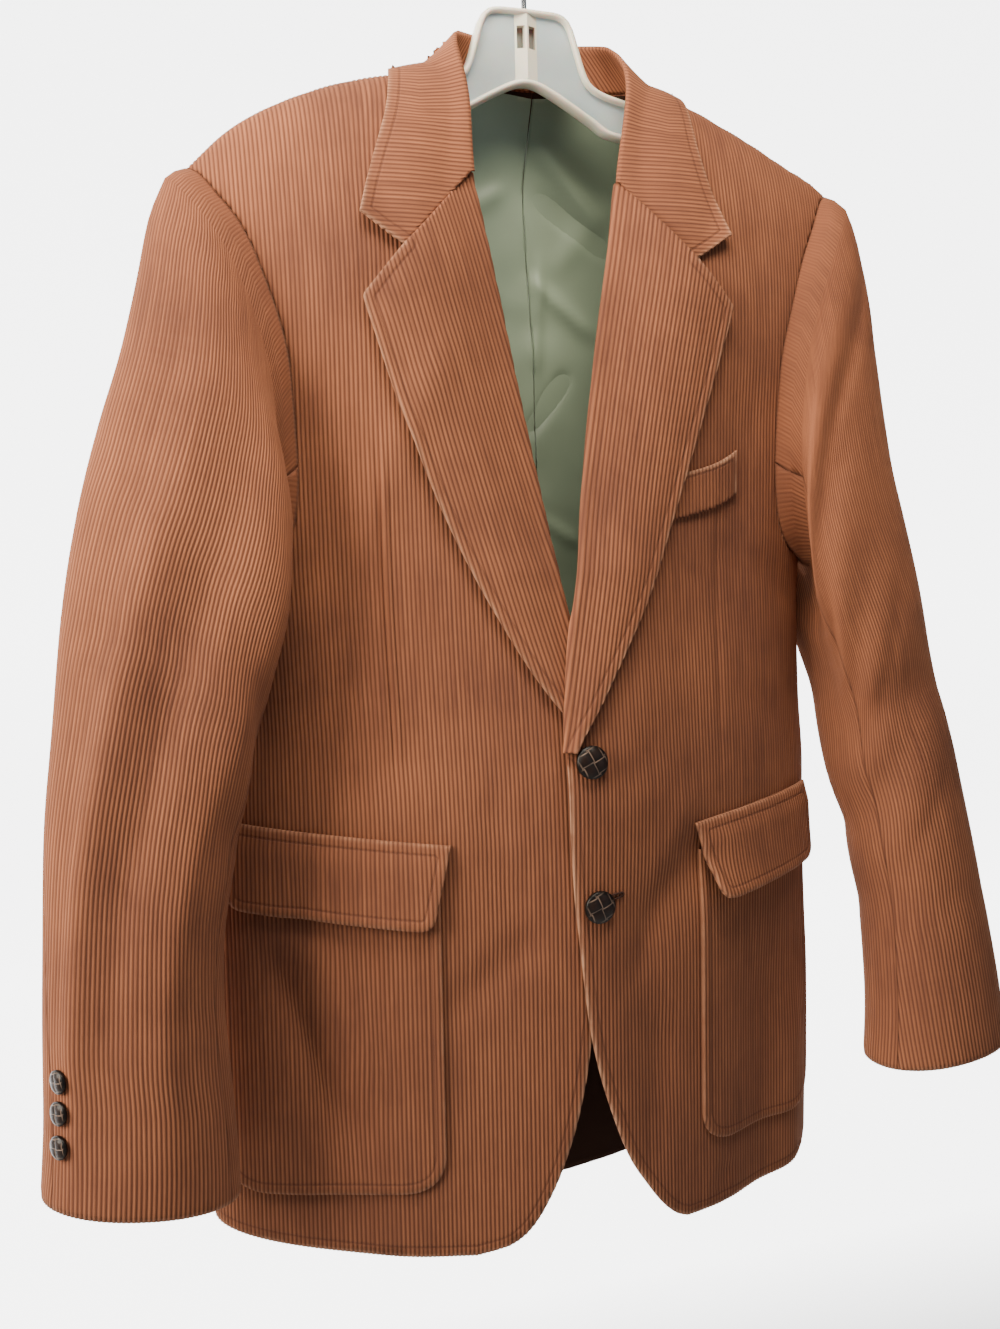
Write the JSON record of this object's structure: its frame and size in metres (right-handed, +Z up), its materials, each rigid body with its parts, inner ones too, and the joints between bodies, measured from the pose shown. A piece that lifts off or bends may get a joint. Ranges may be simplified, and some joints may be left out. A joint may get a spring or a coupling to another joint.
{
  "type": "corduroy jacket on a hanger",
  "caption": "Single-breasted corduroy jacket with notched lapels, flapped patch pockets and leather buttons, closed and hanging on a moulded hanger with a wire hook.",
  "frame": {"origin": "where a rail touches the inside of the hanger's hook, at the top of its bend", "axes": "+Z up, the jacket's front faces -Y, its wearer's left side is towards +X"},
  "size_m": [0.6869, 0.154, 0.9109],
  "materials": {
    "corduroy": "rust-brown wide-wale cotton corduroy, worn lighter at the edges",
    "lining": "sage green satin",
    "leather": "dark brown woven leather",
    "plastic": "milky translucent plastic",
    "steel": "bright wire"
  },
  "bodies": {
    "root": {"front_right": "corduroy", "front_left": "corduroy", "back_right": "corduroy", "back_left": "corduroy", "lapel_right": "corduroy", "lapel_left": "corduroy", "collar": "corduroy", "sleeve_upper_right": "corduroy", "sleeve_under_right": "corduroy", "sleeve_upper_left": "corduroy", "sleeve_under_left": "corduroy", "pocket_right": "corduroy", "pocket_left": "corduroy", "flap_right": "corduroy", "flap_left": "corduroy", "breast_welt": "corduroy", "lining_right": "lining", "lining_left": "lining", "button_front_upper": "leather", "button_front_lower": "leather", "button_cuff_right_1": "leather", "button_cuff_right_2": "leather", "button_cuff_right_3": "leather", "button_cuff_left_1": "leather", "button_cuff_left_2": "leather", "button_cuff_left_3": "leather", "hanger_body": "plastic", "hanger_hook": "steel"}
  },
  "joints": []
}
